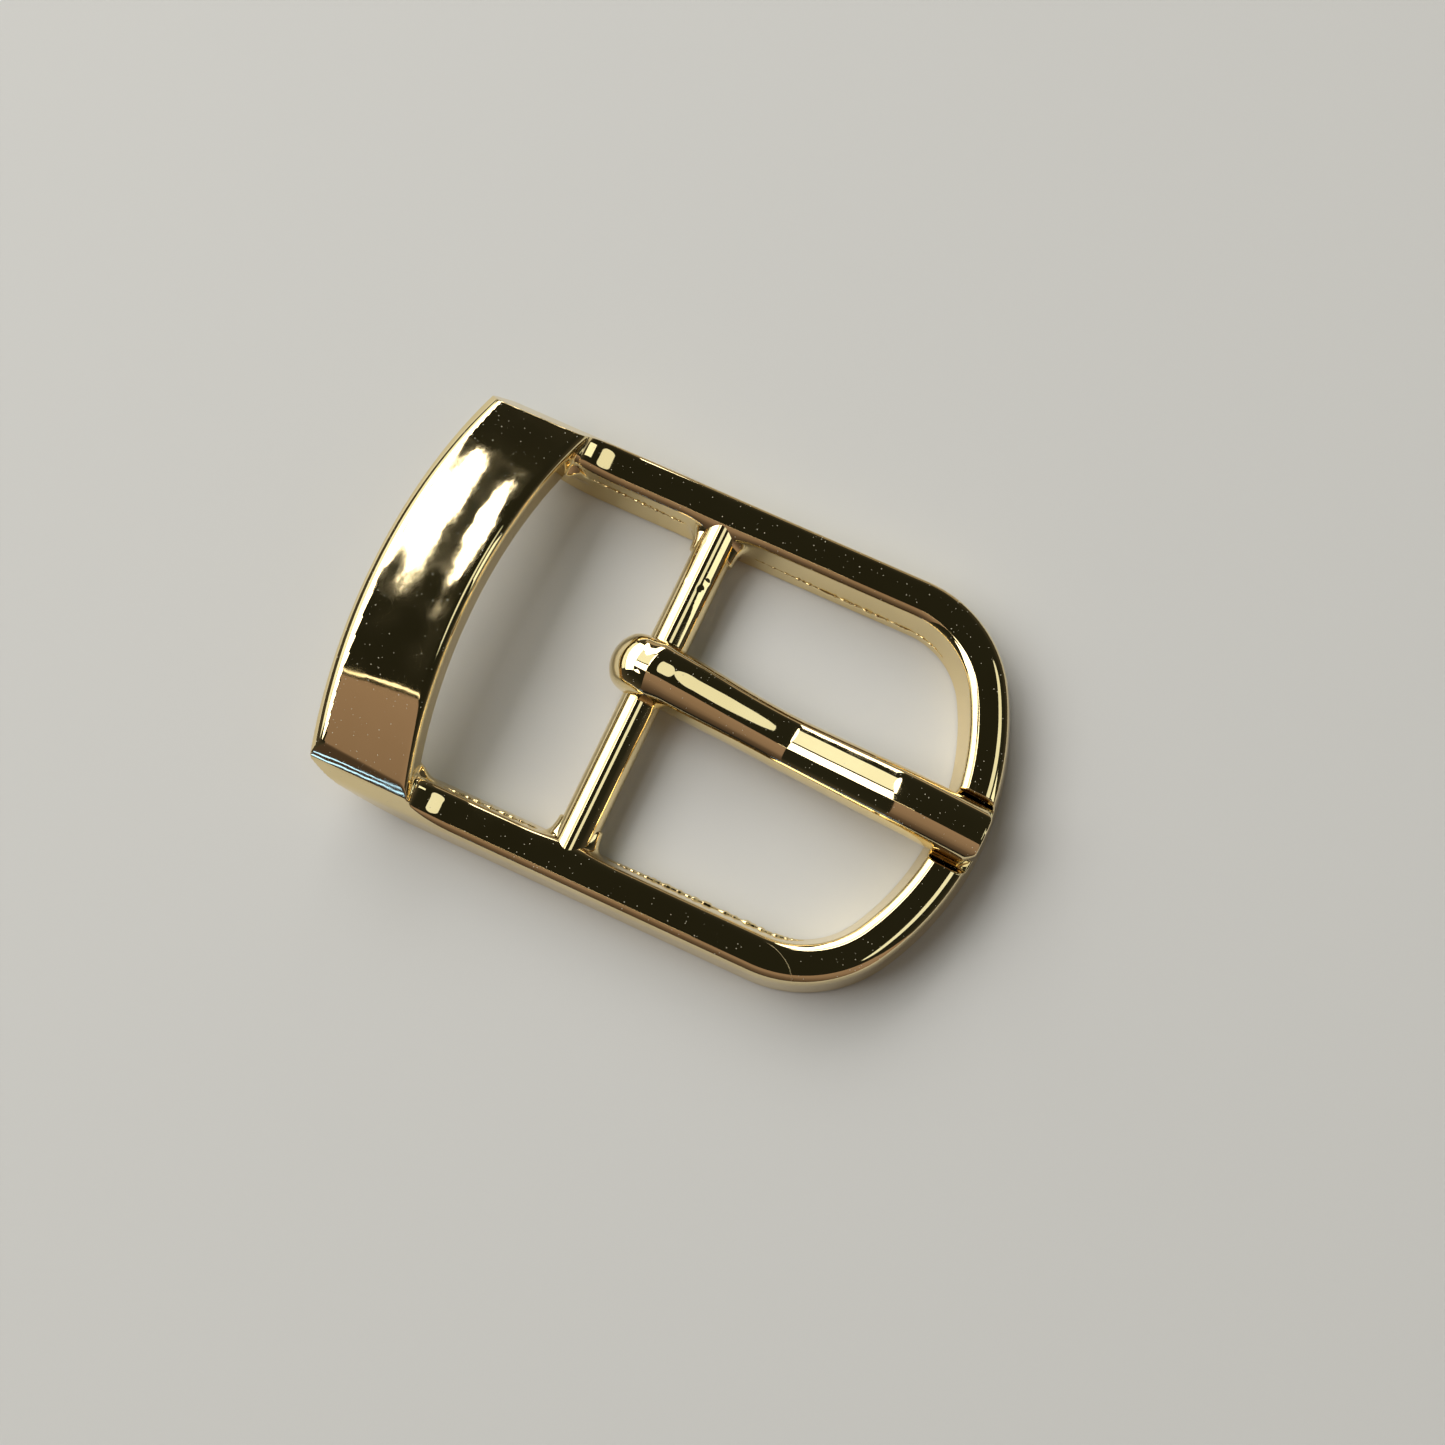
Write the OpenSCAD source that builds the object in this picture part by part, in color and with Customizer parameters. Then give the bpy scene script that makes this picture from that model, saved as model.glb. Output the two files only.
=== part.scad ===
// Centre-bar strap buckle: one cast frame with a raised band, a round bar, and a prong that turns on it.
// X runs along the strap, from the band (-X) to the rounded end (+X). Y runs along the bar. Z is up.
// The origin is the middle of the bar's axis. Values named *_z are heights above the frame's underside.

/* [Strap] */
// Clear width between the rails, measured at their shoulders, where the strap passes
strap_gap = 31; // [29:0.5:34]
// Diameter of the bar that the strap and the prong go round
bar_d = 3.6; // [3.2:0.1:3.7]
// Height of the bar's axis above the underside
bar_z = 2.5; // [2.4:0.05:2.6]

/* [Rails] */
// Height of the rails
rail_h = 4.4; // [4.2:0.1:4.6]
// Width of a rail's flat top
rail_top_w = 1.86; // [1.4:0.02:2.2]
// Width of a rail at the foot of its rounded shoulders
rail_w = 3.5; // [3.2:0.1:3.8]
// How far a shoulder drops from the flat top
shoulder_drop = 0.65; // [0.4:0.05:0.9]
// How far the inner wall leans out below its shoulder
inner_lean = 0.85; // [0.5:0.05:1]
// How far the outer wall leans out below its shoulder
outer_lean = 0.25; // [0.1:0.05:0.4]

/* [Rounded end] */
// Distance from the bar's axis to the rail's centreline at the rounded end
end_reach = 30.5; // [29:0.5:33]
// Radius of the end's shallow curve, on the centreline
end_r = 25; // [22:0.5:30]
// Radius of the two end corners, on the centreline
corner_r = 10; // [8:0.5:12]

/* [Raised band] */
// Distance from the bar's axis to the band's inner top edge, at the crown
band_near = 16.2; // [15.8:0.1:17]
// Width of the band's top, without its outer bevel
band_top_w = 8; // [7:0.1:9]
// Height of the band's crown above the underside
band_crown_z = 10; // [9.6:0.1:10.4]
// How far the band's ends drop below its crown
band_arch = 3.6; // [3.4:0.1:3.8]
// How far the band's ends come back towards the bar
band_bow = 2.1; // [1.8:0.1:2.4]
// Height of the band's inner wall
band_wall_h = 3.2; // [2.8:0.1:3.4]

/* [Prong] */
// Width of the prong's blade
prong_w = 5.2; // [4.6:0.1:5.4]
// Thickness of the prong's blade
prong_h = 2.9; // [2.6:0.1:3]
// Radius of the blade's low-domed top, seen in section
crown_r = 4.2; // [3.5:0.1:6]
// Radius of the ball-shaped heel
heel_r = 3.25; // [3.1:0.05:3.3]
// Running clearance between the bar and the prong's eye, on the radius
eye_clearance = 0.06; // [0.02:0.01:0.1]
// How far the loose prong sits from the middle of the bar
prong_shift = 1.5; // [-1.5:0.1:1.5]
// How far the loose prong leans out of square, in degrees
prong_skew = 3.3; // [-3.3:0.1:3.3]

/* [Hidden] */

$fn = 96;
gold = [0.86, 0.72, 0.42];

// Rails
rail_y = (strap_gap + rail_w) / 2;
top_half = rail_top_w / 2;
rail_half = rail_w / 2;
shoulder_z = rail_h - shoulder_drop;
foot_r = 0.4;
shoulder_arc = 60;
foot_in = rail_half + inner_lean;
foot_out = rail_half + outer_lean;

// Rounded end: two corner arcs run tangent into one shallow arc
end_cx = end_reach - end_r;
corner_cy = rail_y - corner_r;
corner_a = asin(corner_cy / (end_r - corner_r));
corner_cx = end_cx + (end_r - corner_r) * cos(corner_a);

// Joining: welds are thin slices a shade larger than the two sweeps they join; other bodies run into
// each other by a plain overlap
weld_t = 0.04;
weld_scale = 1.001;
blade_weld_scale = 1.005;
overlap = 0.3;
beyond = 10;

// Band: its section turns about a tilted axis, so the band arches up and bows outwards at once
band_overhang = 0.75;
band_half_y = rail_y + band_overhang;
band_sag = norm([band_bow, band_arch]);
band_r = (pow(band_half_y, 2) + pow(band_sag, 2)) / (2 * band_sag);
band_tilt = atan2(band_bow, band_arch);
band_cx = -band_near + band_r * sin(band_tilt);
band_cz = band_crown_z - band_r * cos(band_tilt);
band_sweep = 34;
band_end_z = band_crown_z - band_arch;
band_back = band_near + band_top_w;
bevel_run = 1.3;
bevel_drop = 0.75;
bevel_hollow = 0.35;
lip_h = 0.3;
edge_r = 0.35;
belly = 1.3;
end_bevel_z = band_end_z - 0.6;
end_flare = 0.12;

// Posts: the rails' ends, which curve up underneath the band
post_x = band_bow - band_near;
post_tip_x = band_bow - band_back - bevel_run + 0.5;
post_tip_z = band_end_z - bevel_drop - lip_h - 0.25;
post_top_z = band_end_z - 0.9;
post_r = 14.5;
post_bend_x = post_tip_x + sqrt(pow(post_r, 2) - pow(post_r - post_tip_z, 2));
haunch_r = 2.3;
haunch_y = rail_y - rail_half - 0.05;
haunch_z = post_top_z - haunch_r - 0.2;
fillet_r = 2.2;
scoop_run = 3.4;
scoop_top_z = band_end_z - 0.5;

// Bar: it sits in blind seats, inside the flared root that each rail carries it with
seat_depth = 1.1;
root_reach = 2.4;
root_wall = 0.3;
root_flare = 1.3;
bar_half = strap_gap / 2 + seat_depth;
root_tip_y = strap_gap / 2 - root_reach;
root_base_y = strap_gap / 2 + 0.2;
root_tip_r = bar_d / 2 + root_wall;
root_base_r = root_tip_r + root_flare;

// Prong: the top line of its blade is a chain of arcs, each a radius and the angle it turns down through.
// It drops from the heel into a dip, climbs, and lies almost flat over the rounded end.
// Slopes are in degrees.
heel_x = -0.75;
heel_z = heel_r + 0.1;
heel_half_w = prong_w / 2 + 0.2;
heel_foot_z = 0.05;
eye_r = bar_d / 2 + eye_clearance;
eye_wall_r = bar_z - heel_foot_z;
blade_top_z = heel_z + heel_r;
neck_slope = 11;
dip_slope = 6;
rise_slope = 7.5;
crest_slope = 5.5;
tip_slope = 1;
blade_arcs = [
    [24, neck_slope],
    [90, dip_slope - neck_slope],
    [9, -dip_slope - rise_slope],
    [300, rise_slope - crest_slope],
    [30, crest_slope],
    [400, tip_slope]
];
prong_end_r = end_r + rail_half + 0.15;
tip_chamfer = 0.7;

// Saddle: the shallow notch in the rounded end that the prong's tip rests over
saddle_gap = 0.08;
saddle_side = 0.3;
saddle_flare = 0.6;
prong_foot_z = arc_end(len(blade_arcs))[1] - prong_h;
saddle_z = prong_foot_z - saddle_gap;

// Where the blade's top line has got to after its first n arcs, as [x, z, slope]
function arc_end(n) =
    n == 0 ? [heel_x, blade_top_z, 0] :
    let (from = arc_end(n - 1), arc = blade_arcs[n - 1], to = from[2] + arc[1], r = arc[0] * sign(arc[1]))
    [from[0] + r * (sin(to) - sin(from[2])), from[1] + r * (cos(to) - cos(from[2])), to];

// Points along part of an ellipse, from angle a0 to angle a1 in n steps
function ellipse_arc(centre, rx, rz, a0, a1, n) =
    [for (i = [0:n]) let (a = a0 + (a1 - a0) * i / n) centre + [rx * cos(a), rz * sin(a)]];

// A rounded shoulder: upright at its foot, with a crisp line where it meets the flat top.
// An arc of 60 degrees covers half of the ellipse's half width, so that half width is twice the run.
function shoulder() =
    let (run = rail_half - top_half)
    ellipse_arc([rail_half - 2 * run, shoulder_z], 2 * run, shoulder_drop / sin(shoulder_arc),
        0, shoulder_arc, 5);

function mirrored(points) = [for (i = [len(points) - 1:-1:0]) [-points[i][0], points[i][1]]];

// Distance from the centreline to the inner wall, at a height above the underside
function inner_wall(z) = rail_half + inner_lean * (shoulder_z - z) / (shoulder_z - foot_r);

// Section of a rail: x is outwards from the centreline, y is the height above the underside
module rail_section() {
    polygon(concat(
        ellipse_arc([foot_out - foot_r, foot_r], foot_r, foot_r, -90, 0, 3),
        shoulder(),
        mirrored(shoulder()),
        ellipse_arc([foot_r - foot_in, foot_r], foot_r, foot_r, 180, 270, 3)
    ));
}

// Places an outline drawn across the strap (y, z) along X
module along_x(from, to) {
    translate([from, 0, 0])
        rotate([90, 0, 90])
            linear_extrude(to - from)
                children();
}

// Places an outline drawn along the strap (x, z) across Y
module across_y(from, to) {
    translate([0, to, 0])
        rotate([90, 0, 0])
            linear_extrude(to - from)
                children();
}

module both_sides() {
    children();
    mirror([0, 1, 0])
        children();
}

module straight_rail() {
    along_x(post_x - 3 * overlap, corner_cx)
        translate([rail_y, 0])
            rail_section();
}

// A hair-thin weld, a shade larger than the rail, where two stretches of it meet end to end
module weld(centre, r, a) {
    translate(centre)
        rotate([90, 0, a])
            translate([r, shoulder_z / 2, -weld_t / 2])
                linear_extrude(weld_t)
                    scale(weld_scale)
                        translate([0, -shoulder_z / 2])
                            rail_section();
}

module rail_arc(centre, r, from, to) {
    translate(centre)
        rotate([0, 0, from])
            rotate_extrude(angle = to - from)
                translate([r, 0])
                    rail_section();
}

// Half of the rounded end, on the +Y side, with its two welds
module rounded_end() {
    corner = [corner_cx, corner_cy, 0];
    rail_arc([end_cx, 0, 0], end_r, -1, corner_a);
    rail_arc(corner, corner_r, corner_a, 90);
    weld(corner, corner_r, corner_a);
    weld(corner, corner_r, 90);
}

// Section of the band at its crown, in x and z: flat on top, bellied underneath, with a rounded inner
// edge and a wide bevel towards a thin outer lip
module band_section() {
    lip = [-band_back - bevel_run, band_crown_z - bevel_drop];
    wall_foot = [-band_near, band_crown_z - band_wall_h];
    under_lip = lip - [0, lip_h];
    polygon(concat(
        ellipse_arc([-band_near - edge_r, band_crown_z - edge_r], edge_r, edge_r, 0, 90, 3),
        [[-band_back, band_crown_z]],
        [[-band_back - bevel_run / 2, band_crown_z - bevel_drop * bevel_hollow]],
        [lip],
        [for (t = [0:0.1:1]) under_lip + t * (wall_foot - under_lip) - [0, 4 * belly * t * (1 - t)]]
    ));
}

// The band before its ends are cut: the section is moved into the plane of the tilted axis and turned
module band_sweep_body() {
    translate([band_cx, 0, band_cz])
        rotate([0, 90 - band_tilt, 0])
            rotate([0, 0, 180 - band_sweep])
                rotate_extrude(angle = 2 * band_sweep, $fn = 240)
                    rotate(band_tilt - 90)
                        mirror([1, 0])
                            translate([-band_cx, -band_cz])
                                band_section();
}

// Across the strap, the band's ends: flush with the rails, then leaning in, then bevelled
module band_ends_outline() {
    side = [
        [rail_y + foot_out, foot_r],
        [rail_y + rail_half, shoulder_z],
        [band_half_y + end_flare, end_bevel_z],
        [band_half_y + end_flare - beyond, end_bevel_z + beyond]
    ];
    polygon(concat(side, mirrored(side)));
}

module band() {
    intersection() {
        band_sweep_body();
        along_x(-band_back - 2 * bevel_run, 0)
            band_ends_outline();
    }
}

// Along the strap, a post's sole curves up from the rail's foot to the band's lip
module post_side_outline() {
    polygon(concat(
        [[post_bend_x, shoulder_z], [post_x, shoulder_z], [post_x - overlap, post_top_z]],
        [[post_tip_x + 2 * overlap, post_top_z]],
        ellipse_arc([post_bend_x, post_r], post_r, post_r,
            270 - acos((post_r - post_tip_z) / post_r), 270, 12)
    ));
}

module post_end_outline() {
    polygon(concat(
        ellipse_arc([rail_y + foot_out - foot_r, foot_r], foot_r, foot_r, -90, 0, 3),
        [[rail_y + rail_half, shoulder_z], [band_half_y + end_flare, end_bevel_z]],
        [[rail_y - inner_wall(end_bevel_z), end_bevel_z]],
        ellipse_arc([rail_y - foot_in + foot_r, foot_r], foot_r, foot_r, 180, 270, 3)
    ));
}

module post() {
    intersection() {
        across_y(0, rail_y + foot_out)
            post_side_outline();
        along_x(-band_back, 0)
            post_end_outline();
    }
}

// Under the band, the rounded corner between its belly and a post
module haunch() {
    along_x(post_tip_x + haunch_r, post_x - 3 * overlap)
        difference() {
            translate([haunch_y - haunch_r, haunch_z])
                square([haunch_r + 3 * overlap, haunch_r + overlap]);
            translate([haunch_y - haunch_r, haunch_z])
                circle(haunch_r);
        }
}

// The rounded corner of the window, between a rail and the band's inner wall
module window_fillet() {
    corner = [post_x - 2 * overlap, haunch_y + 0.1];
    translate([0, 0, haunch_z])
        linear_extrude(shoulder_z - haunch_z)
            difference() {
                translate(corner - [0, fillet_r])
                    square([fillet_r, fillet_r + overlap]);
                translate(corner + [fillet_r, -fillet_r])
                    circle(fillet_r);
            }
}

// The hollow ramp from a rail's flat top up to the band
module scoop() {
    across_y(rail_y - top_half, rail_y + top_half)
        polygon(concat(
            [[post_x - 3 * overlap, shoulder_z], [post_x - 3 * overlap, scoop_top_z]],
            ellipse_arc([post_x + scoop_run, scoop_top_z], scoop_run, scoop_top_z - rail_h, 180, 270, 8),
            [[post_x + scoop_run, shoulder_z]]
        ));
}

// The flared root round the bar, kept between the rail's foot and its shoulder
module bar_root() {
    intersection() {
        translate([0, 0, bar_z])
            rotate([-90, 0, 0])
                rotate_extrude()
                    polygon(concat(
                        [[0, root_base_y], [0, root_tip_y]],
                        ellipse_arc([root_base_r, root_tip_y], root_base_r - root_tip_r,
                            root_base_y - root_tip_y, 180, 90, 8)
                    ));
        translate([-root_base_r, root_tip_y, 0])
            cube([2 * root_base_r, root_base_y - root_tip_y, shoulder_z]);
    }
}

module bar_shape() {
    translate([0, bar_half, bar_z])
        rotate([90, 0, 0])
            cylinder(r = bar_d / 2, h = 2 * bar_half);
}

// Stands the prong's parts where the loose prong lies: shifted along the bar and out of square
module at_prong() {
    translate([0, prong_shift, 0])
        rotate([0, 0, -prong_skew])
            children();
}

module saddle_cut() {
    half = prong_w / 2 + saddle_side;
    depth = rail_h - saddle_z;
    at_prong()
        along_x(end_reach - foot_in - 2 * saddle_flare, end_reach + foot_out + 2 * saddle_flare)
            polygon([
                [-half, saddle_z],
                [half, saddle_z],
                [half + 2 * saddle_flare, saddle_z + 2 * depth],
                [-half - 2 * saddle_flare, saddle_z + 2 * depth]
            ]);
}

module frame() {
    color(gold)
        translate([0, 0, -bar_z])
            difference() {
                union() {
                    both_sides() {
                        straight_rail();
                        rounded_end();
                        post();
                        haunch();
                        window_fillet();
                        scoop();
                        bar_root();
                    }
                    band();
                }
                bar_shape();
                saddle_cut();
            }
}

module centre_bar() {
    color(gold)
        translate([0, 0, -bar_z])
            bar_shape();
}

// Section of the blade: x is the height from its top line, y is across. A low dome on top, flat beneath.
module blade_section() {
    intersection() {
        translate([-crown_r, 0])
            circle(crown_r);
        translate([-prong_h, -prong_w / 2])
            square([prong_h, prong_w]);
    }
}

// Sweeps the blade along an arc that curves downwards, and carries on from its end
module bend_down(r, turn) {
    translate([0, 0, -r]) {
        rotate([0, -90, -90])
            rotate_extrude(angle = turn, $fn = 360)
                translate([r, 0])
                    blade_section();
        rotate([0, turn, 0])
            translate([0, 0, r])
                children();
    }
}

// Sweeps the blade along an arc that curves upwards, and carries on from its end
module bend_up(r, turn) {
    translate([0, 0, r])
        mirror([0, 0, 1]) {
            rotate([0, -90, -90])
                rotate_extrude(angle = turn, $fn = 360)
                    translate([r, 0])
                        mirror([1, 0])
                            blade_section();
            rotate([0, turn, 0])
                translate([0, 0, r])
                    mirror([0, 0, 1])
                        children();
        }
}

// A hair-thin weld, a shade larger than the blade, where two of its arcs meet
module blade_weld() {
    rotate([0, -90, 0])
        translate([-prong_h / 2, 0, -weld_t / 2])
            linear_extrude(weld_t)
                scale(blade_weld_scale)
                    translate([prong_h / 2, 0])
                        blade_section();
}

// Sweeps the blade's arcs one after another, starting with arc number i
module blade_from(i) {
    if (i < len(blade_arcs)) {
        blade_weld();
        r = blade_arcs[i][0];
        turn = blade_arcs[i][1];
        if (turn > 0)
            bend_down(r, turn)
                blade_from(i + 1);
        else
            bend_up(r, -turn)
                blade_from(i + 1);
    }
}

module blade() {
    translate([heel_x, 0, blade_top_z])
        blade_from(0);
}

module heel() {
    intersection() {
        translate([heel_x, 0, heel_z])
            sphere(heel_r);
        translate([heel_x - heel_r, -heel_half_w, heel_foot_z])
            cube(2 * [heel_r, heel_half_w, heel_r]);
    }
}

module prong() {
    color(gold)
        translate([0, 0, -bar_z])
            difference() {
                union() {
                    at_prong() {
                        blade();
                        heel();
                    }
                    translate([0, prong_shift + prong_w / 2, bar_z])
                        rotate([90, 0, 0])
                            cylinder(r = eye_wall_r, h = prong_w);
                }
                translate([0, prong_shift + prong_w, bar_z])
                    rotate([90, 0, 0])
                        cylinder(r = eye_r, h = 2 * prong_w);
                prong_end_cut();
            }
}

// Trims the prong's tip to the rounded end's outer edge, and takes off its two corners
module prong_end_cut() {
    difference() {
        translate([end_reach - prong_h, -beyond, 0])
            cube([beyond, 2 * beyond, beyond]);
        translate([end_cx, 0, -overlap])
            cylinder(r = prong_end_r, h = beyond + 2 * overlap, $fn = 240);
    }
    at_prong()
        for (side = [-1, 1])
            translate([end_cx + prong_end_r, side * prong_w / 2, beyond / 2])
                rotate([0, 0, 45])
                    cube([2 * tip_chamfer, 2 * tip_chamfer, beyond], center = true);
}

frame();
centre_bar();
prong();
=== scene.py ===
"""Visual model of a cast, gold-plated strap buckle: frame with a raised band, round bar and loose prong.

Each piece is written as a signed distance field, negative inside the metal, and meshed from it. Fields work
in millimetres with z measured from the frame's underside, and the meshes are moved into the shared frame.
"""

import math

import bpy
import numpy as np
from mathutils import Matrix, Vector


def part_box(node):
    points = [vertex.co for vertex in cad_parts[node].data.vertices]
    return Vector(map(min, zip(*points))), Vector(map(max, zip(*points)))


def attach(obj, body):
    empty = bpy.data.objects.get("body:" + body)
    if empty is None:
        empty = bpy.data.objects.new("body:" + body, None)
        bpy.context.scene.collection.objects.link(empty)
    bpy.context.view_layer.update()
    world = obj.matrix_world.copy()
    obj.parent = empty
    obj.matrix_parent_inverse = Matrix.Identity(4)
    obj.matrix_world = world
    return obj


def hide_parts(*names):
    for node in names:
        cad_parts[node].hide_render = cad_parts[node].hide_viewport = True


MM = 0.001
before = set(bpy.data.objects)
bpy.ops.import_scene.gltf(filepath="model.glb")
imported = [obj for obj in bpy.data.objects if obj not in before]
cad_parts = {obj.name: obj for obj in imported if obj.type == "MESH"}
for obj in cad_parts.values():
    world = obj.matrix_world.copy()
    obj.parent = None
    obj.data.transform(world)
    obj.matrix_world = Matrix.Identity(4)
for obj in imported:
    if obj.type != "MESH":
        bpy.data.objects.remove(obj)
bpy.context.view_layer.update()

frame_lo, frame_hi = (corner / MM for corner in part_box("frame"))
bar_lo, bar_hi = (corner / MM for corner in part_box("centre_bar"))
prong_lo, prong_hi = (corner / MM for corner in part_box("prong"))

# ---------------------------------------------------------------- driving dimensions, in millimetres
UNDERSIDE = frame_lo.z
BAR_Z = -UNDERSIDE
BAR_R = (bar_hi.z - bar_lo.z) / 2

# Rails: half widths are measured from the rail's centreline
FOOT_OUT = 2.0
FOOT_IN = 2.6
FOOT_R = 0.4
SHOULDER_HALF = 1.75
SHOULDER_TURN = math.radians(60)
TOP_HALF = 0.93
SHOULDER_Z = 3.75
RAIL_H = 4.4
RAIL_Y = frame_hi.y - FOOT_OUT
END_REACH = frame_hi.x - FOOT_OUT
END_R = 25.0
CORNER_R = 10.0

# Raised band: it arches across the strap and bows away from the bar
BAND_NEAR = 16.2
BAND_BACK = 24.2
BAND_LIP = -frame_lo.x
BAND_TOP = frame_hi.z - UNDERSIDE
BAND_ARCH = 3.6
BAND_BOW = 2.1
BAND_HALF_Y = RAIL_Y + 0.75
BAND_WALL = 3.2
# The bevel behind the band's crown falls by BEVEL_DROP, this share of it straight and the rest curving down
BEVEL_DROP = 0.75
BEVEL_LEAN = 0.35
LIP_H = 0.3
BELLY = 1.3

# Faint ripples and a shallow dish left by polishing, and the crown of the end bevels. The +Y bevel is
# narrower.
RIPPLE = 0.0058
RIPPLE_PITCH = 4.0
RIPPLE_START = 1.9
DISH = 0.0021
FAR_BEVEL_LESS = 0.5
BEVEL_MIDDLE = 0.7
BEVEL_CROWN = 0.012
END_BEVEL = (BAND_HALF_Y + 0.12, BAND_TOP - BAND_ARCH - 0.6)

# Posts and scoops: the rails' ends curve up under the band, and a hollow ramp climbs to its inner wall
POST_X = BAND_BOW - BAND_NEAR
POST_TIP = (BAND_BOW - BAND_LIP + 0.5, BAND_TOP - BAND_ARCH - 1.3)
POST_R = 14.5
SCOOP_RUN = 5.0
SCOOP_TOP = BAND_TOP - BAND_ARCH - 0.5

# Fillets where the rails meet the band: wide low down inside the window, tight above the shoulders
WINDOW_FILLET = 2.2
SCOOP_FILLET = 0.25
TIGHT_FROM_Z = SHOULDER_Z + 0.2
TIGHT_RISE = 1.2
TIGHT_FROM_U = -SHOULDER_HALF - 0.4
TIGHT_RUN = 0.8

# Roots: the flares that carry the bar
ROOT_TIP_Y = RAIL_Y - SHOULDER_HALF - 2.4
ROOT_RUN = 2.6
ROOT_TIP_R = BAR_R + 0.3
ROOT_BASE_R = BAR_R + 1.6
ROOT_TOP_Z = SHOULDER_Z - 0.1

# Prong
PRONG_SHIFT = 1.5
PRONG_SKEW = math.radians(3.3)
PRONG_H = 2.9
CROWN_R = 4.2
CROWN_ROLL = math.radians(3)
BLADE_START = 0.6
BLADE_BASE, BLADE_WAIST, BLADE_TIP = 2.7, 2.43, 2.68
WAIST_START, WAIST_RUN = 2, 9
SWELL_START, SWELL_RUN = 12, 14
# The blade's top line from the heel: arcs, each a radius and the degrees it turns down through
BLADE_ARCS = ((24, 12), (75, -6), (9, -13.2), (330, -1.6), (22, 8.8), (400, 1))
HEEL_R = 3.25
HEEL_X = -0.75
HEEL_Z = HEEL_R + 0.1
HEEL_HALF = 2.8
HEEL_FOOT_Z = 0.05
EYE_R = BAR_R + 0.06
EYE_WALL = BAR_Z - HEEL_FOOT_Z
EYE_HALF = 2.3
PRONG_END_R = END_R + SHOULDER_HALF + 0.15
TIP_FLAT_HALF = 1.75
SADDLE_Z = 3.3
SADDLE_HALF = 2.9
SADDLE_FLARE = 0.6
SADDLE_REACH = 6

# How far the edges of each shape are rounded
RAIL_EDGE = 0.10
SOLE_EDGE = 0.35
CREASE_EDGE = 0.04
WALL_EDGE = 0.9
LIP_EDGE = 0.12
UNDER_EDGE = 0.25
ROOT_END_EDGE = 0.25
ROOT_TOP_EDGE = 1.2
ROOT_JOIN = 0.9
OUTSIDE_CREASE = 0.25
BEVEL_EDGE = 0.08
OUTSIDE_EDGE = 0.06
FOOT_EDGE = 0.3
SADDLE_FLOOR_EDGE = 0.15
SADDLE_RIM_EDGE = 0.10
CROWN_EDGE = 1.0
PRONG_SOLE_EDGE = 0.5
BLADE_START_EDGE = 1.2
HEEL_SIDE_EDGE = 0.8
EYE_SIDE_EDGE = 0.4
HEEL_JOIN = 1.0
EYE_JOIN = 0.3
HEEL_FOOT_EDGE = 0.1
EYE_EDGE = 0.12
TIP_CORNER_EDGE = 0.15
TIP_EDGE = 0.25

# Rounded end: two corner arcs run tangent into one shallow arc
END_CX = END_REACH - END_R
CORNER_CY = RAIL_Y - CORNER_R
CORNER_A = math.asin(CORNER_CY / (END_R - CORNER_R))
CORNER_CX = END_CX + (END_R - CORNER_R) * math.cos(CORNER_A)

# Band: its section turns about a tilted axis
BAND_SAG = math.hypot(BAND_BOW, BAND_ARCH)
BAND_R = (BAND_HALF_Y ** 2 + BAND_SAG ** 2) / (2 * BAND_SAG)
BAND_TILT = math.atan2(BAND_BOW, BAND_ARCH)
BAND_CX = -BAND_NEAR + BAND_R * math.sin(BAND_TILT)
BAND_CZ = BAND_TOP - BAND_R * math.cos(BAND_TILT)
POST_BEND_X = POST_TIP[0] + math.sqrt(POST_R ** 2 - (POST_R - POST_TIP[1]) ** 2)


# ---------------------------------------------------------------- field helpers
def soft_max(a, b, k):
    """The larger of two fields, with the edge where they meet rounded over about k."""
    h = np.maximum(k - np.abs(a - b), 0)
    return np.maximum(a, b) + h * h / (4 * k)


def soft_min(a, b, k):
    """The smaller of two fields, with the corner where they meet filleted over about k."""
    return -soft_max(-a, -b, k)


def fillet(a, b, r):
    """The smaller of two fields, with a round fillet of radius r in the corner where they meet."""
    both = np.hypot(np.maximum(r - a, 0), np.maximum(r - b, 0))
    return np.maximum(np.minimum(a, b), r) - both


def plane(u, z, through, to):
    """Distance outside the line from one (u, z) point up to another, with the metal on its -u side."""
    du, dz = to[0] - through[0], to[1] - through[1]
    return ((u - through[0]) * dz - (z - through[1]) * du) / math.hypot(du, dz)


def graph_gap(value, slope):
    """Distance from a curve given as a graph: the difference along one axis, corrected for the slope."""
    return value / np.sqrt(1 + slope * slope)


def smooth_step(t):
    """Rises from 0 to 1 as t does, level at both ends."""
    t = np.clip(t, 0, 1)
    return t * t * (3 - 2 * t)


def quarter_round(t, stop):
    """Height and slope of a unit circle's lowest quarter at t, held at a stop short of the vertical."""
    t = np.clip(t, 0, stop)
    rest = np.sqrt(1 - t * t)
    return 1 - rest, t / rest


# ---------------------------------------------------------------- the frame's field
def rail_offset(x, y):
    """Distance outwards from the centreline of the two rails and the rounded end."""
    y = np.abs(y)
    end = np.hypot(x - END_CX, y) - END_R
    corner = np.hypot(x - CORNER_CX, y - CORNER_CY) - CORNER_R
    straight = y - RAIL_Y
    on_end = y * math.cos(CORNER_A) < (x - END_CX) * math.sin(CORNER_A)
    return np.where(on_end, end, np.where(x < CORNER_CX, straight, corner))


def shoulder_half(z):
    """Half width of the rail above its shoulders' foot, and its slope: part of an ellipse."""
    run = (SHOULDER_HALF - TOP_HALF) / (1 - math.cos(SHOULDER_TURN))
    rise = (RAIL_H - SHOULDER_Z) / math.sin(SHOULDER_TURN)
    drawn_in, slope = quarter_round((z - SHOULDER_Z) / rise, 0.97)
    return SHOULDER_HALF - run * drawn_in, -run * slope / rise


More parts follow.
